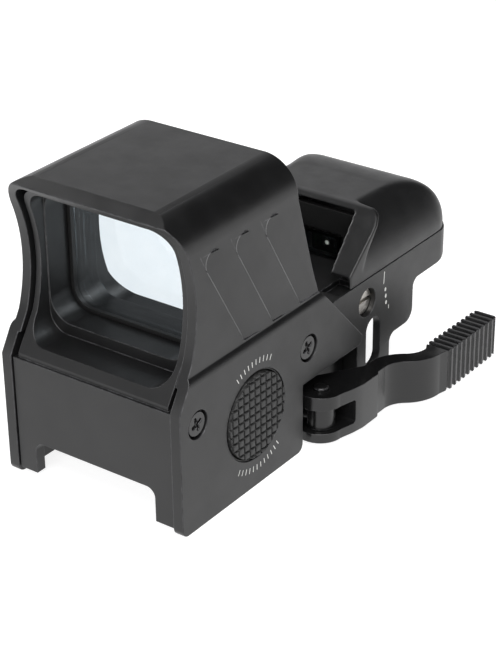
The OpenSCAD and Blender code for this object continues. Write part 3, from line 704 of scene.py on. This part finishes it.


# ---- Flute edges: painted highlight ----

# The flutes' own sizes, and those of the pale bead that paints the highlight along their front edges: its
# radius and how far its middle lies below the hood's side
FLUTE_Y = 9.0
FLUTE_Z = 54.3
FLUTE_PITCH = 9.3
FLUTE_SLANT = math.radians(30.5)
FLUTE_TOP_R = 2.5
HOOD_HALF = 21.2
SHOULDER_Z = 33.4
HIGHLIGHT_BEAD_R = 0.13
HIGHLIGHT_BEAD_SINK = 0.06
HIGHLIGHT_BEAD_SIDES = 6


def flute_path():
    """Points (u, v) up a flute's front edge and over its top; u is across the flute and v along it."""
    run = (FLUTE_Z - SHOULDER_Z - 1.2) / math.cos(FLUTE_SLANT)
    path = [(0, -run * (1 - i / 12)) for i in range(12)]
    for i in range(11):
        a = math.radians(10 * i)
        path.append((FLUTE_TOP_R * (1 - math.cos(a)), FLUTE_TOP_R * (math.sin(a) - 1)))
    return path


def make_flute_highlights(material):
    """A pale bead that paints the highlight along the front edge of each flute, hooked over at the top, on
    both sides of the hood.
    """
    path = flute_path()
    verts, faces = [], []
    for side in (1, -1):
        for flute in range(3):
            first = len(verts)
            for u, v in path:
                y = FLUTE_Y + flute * FLUTE_PITCH + u * math.cos(FLUTE_SLANT) - v * math.sin(FLUTE_SLANT)
                z = FLUTE_Z + u * math.sin(FLUTE_SLANT) + v * math.cos(FLUTE_SLANT)
                for k in range(HIGHLIGHT_BEAD_SIDES):
                    a = 2 * math.pi * k / HIGHLIGHT_BEAD_SIDES
                    x = HOOD_HALF - HIGHLIGHT_BEAD_SINK + HIGHLIGHT_BEAD_R * math.cos(a)
                    verts.append(at(side * x, y + HIGHLIGHT_BEAD_R * math.sin(a), z))
            faces += tube_faces(first, len(path), HIGHLIGHT_BEAD_SIDES)
    add_piece("flute_edges", verts, faces, material, "sight", "shield_alloy")


# ---- Springs ----

COIL_STEPS = 28
COIL_SIDES = 8


def make_spring(name, body, material, start, end, radius0, radius1, wire, turns):
    """Coil of round wire from start to end, with its end turns closed up."""
    start, end = Vector(start), Vector(end)
    axis = (end - start).normalized()
    side = axis.orthogonal().normalized()
    other = axis.cross(side)
    steps = int(turns * COIL_STEPS)
    length = (end - start).length - 2 * wire
    path = []
    for i in range(steps + 1):
        t = i / steps
        a = 2 * math.pi * turns * t
        # closed end turns: the pitch eases in and out
        rise = length * smooth_step(t) * 0.5 + length * t * 0.5
        r = radius0 + (radius1 - radius0) * t - wire
        path.append(start + axis * (wire + rise) + side * (r * math.cos(a)) + other * (r * math.sin(a)))
    verts = []
    for i, point in enumerate(path):
        ahead = (path[min(i + 1, steps)] - path[max(i - 1, 0)]).normalized()
        out = (point - start - axis * (point - start).dot(axis)).normalized()
        up = ahead.cross(out).normalized()
        for k in range(COIL_SIDES):
            b = 2 * math.pi * k / COIL_SIDES
            verts.append(point + wire * (out * math.cos(b) + up * math.sin(b)))
    faces = tube_faces(0, len(path), COIL_SIDES)
    coil = add_piece(name + "_coil", verts, faces, material, body, slots[name])
    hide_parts(name)


# Name, body, axis, wire's radius in millimetres, turns, and the far end's radius as a share of the near end's
SPRINGS = (
    ("battery_spring", "sight", 0, 0.4, 3, 0.45),
    ("jaw_spring", "sight", 0, 0.3, 6, 1),
    ("windage_spring", "sight", 0, 0.18, 5, 1),
    ("elevation_spring", "windage_slide", 2, 0.2, 4, 1),
)


def make_springs(materials):
    """Coils within the boxes of the CAD's plain tubes."""
    for name, body, axis, wire, turns, end_share in SPRINGS:
        low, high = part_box(name)
        middle = (low + high) / 2
        start, end = middle.copy(), middle.copy()
        start[axis], end[axis] = high[axis], low[axis]
        radius = (high[1] - low[1]) / 2
        material = materials[slots[name]]
        make_spring(name, body, material, start, end, radius, radius * end_share, wire * MM, turns)


# ---- Printed marks ----

# A hair proud of the surface that they are printed on
MARK_LIFT = 0.03
BUTTON_MID = Vector((23.8, 16.0))
PLATE_X = 22.0
TICK_R = 11.8
TICK_HALF_WIDTH = 0.1
TICK_HALF_HEIGHT = 0.62
# Degrees round the button of the ticks above it and below it
TICKS = (*range(66, 121, 6), *range(-120, -53, 6))


def tick(degrees):
    """Outline of a short stroke that points at the button's middle."""
    a = math.radians(degrees)
    along, out = Vector((math.sin(a), -math.cos(a))), Vector((math.cos(a), math.sin(a)))
    points = []
    for u, v in ((-1, -1), (1, -1), (1, 1), (-1, 1)):
        y, z = BUTTON_MID + out * (TICK_R + v * TICK_HALF_HEIGHT) + along * (u * TICK_HALF_WIDTH)
        points.append(at(PLATE_X + MARK_LIFT, y, z))
    return points


def on_block(y, z):
    """Point on the rear block's side."""
    return at(COVER_HALF + MARK_LIFT, y, z)


def block_dot(y, z, steps=10):
    """Outline of an oval dot on the rear block."""
    turns = [2 * math.pi * k / steps for k in range(steps)]
    return [on_block(y + 0.34 * math.cos(a), z + 0.5 * math.sin(a)) for a in turns]


def make_marks(material):
    """Plain marks: even ticks round the button, dots and strokes beside the windage adjuster."""
    tiles = [tick(degrees) for degrees in TICKS]
    tiles.append([on_block(73.6, 26.2), on_block(73.85, 26.2), on_block(73.6, 23.4), on_block(73.35, 23.4)])
    tiles += [block_dot(y, z) for y, z in ((74.2, 21.8), (74.4, 20.2), (74.6, 18.6))]
    tiles.append([on_block(75.5, 17.6), on_block(75.75, 17.6), on_block(75.75, 16.7), on_block(75.5, 16.7)])

    verts, faces = [], []
    for tile in tiles:
        faces.append(tuple(range(len(verts), len(verts) + len(tile))))
        verts += tile
    add_piece("plate_marks", verts, faces, material, "sight", "shield_alloy", smooth=False)


# ---- CAD nodes ----

# Width in millimetres of the small round that each node's edges get
EDGE_ROUND = {
    "shield": 0.18, "housing": 0.13, "rear_cover": 0.35, "lens": 0.12, "emitter_window": 0.08,
    "button_pad": 0.16, "lever": 0.09, "clamp_base": 0.25, "clamp_jaw": 0.25, "tension_nut": 0.15,
    "battery_cap": 0.1, "cross_bolt": 0.12, "shield_screws": 0.25, "battery": 0.25, "window_frame": 0.1,
}
PLAIN_ROUND = 0.06
FLAT_WITHIN = math.radians(0.5)
# Nodes whose broad faces are full of holes, so they are cut into triangles before the rounding
CUT_UP = ("housing", "button_pad")


def finish_nodes(materials):
    """Gives every CAD node its material, clean flat faces and rounded edges."""
    for name, obj in nodes.items():
        mat = materials[slots[name]]
        obj.data.materials.clear()
        obj.data.materials.append(mat)
        weld = obj.modifiers.new("weld", "WELD")
        weld.merge_threshold = WELD_REACH * MM
        flat = obj.modifiers.new("flat_faces", "DECIMATE")
        flat.decimate_type = "DISSOLVE"
        flat.angle_limit = FLAT_WITHIN
        if name in CUT_UP:
            obj.modifiers.new("triangles", "TRIANGULATE")
        round_off(obj, EDGE_ROUND.get(name, PLAIN_ROUND))


make_camera()
make_studio()
materials = make_materials()
finish_nodes(materials)
make_rear_cover(materials["cover_plastic"])
# pale beads that paint the highlight on the flutes' front edges
make_flute_highlights(materials["flute_highlight_paint"])
make_springs(materials)
make_marks(materials["mark_ink"])
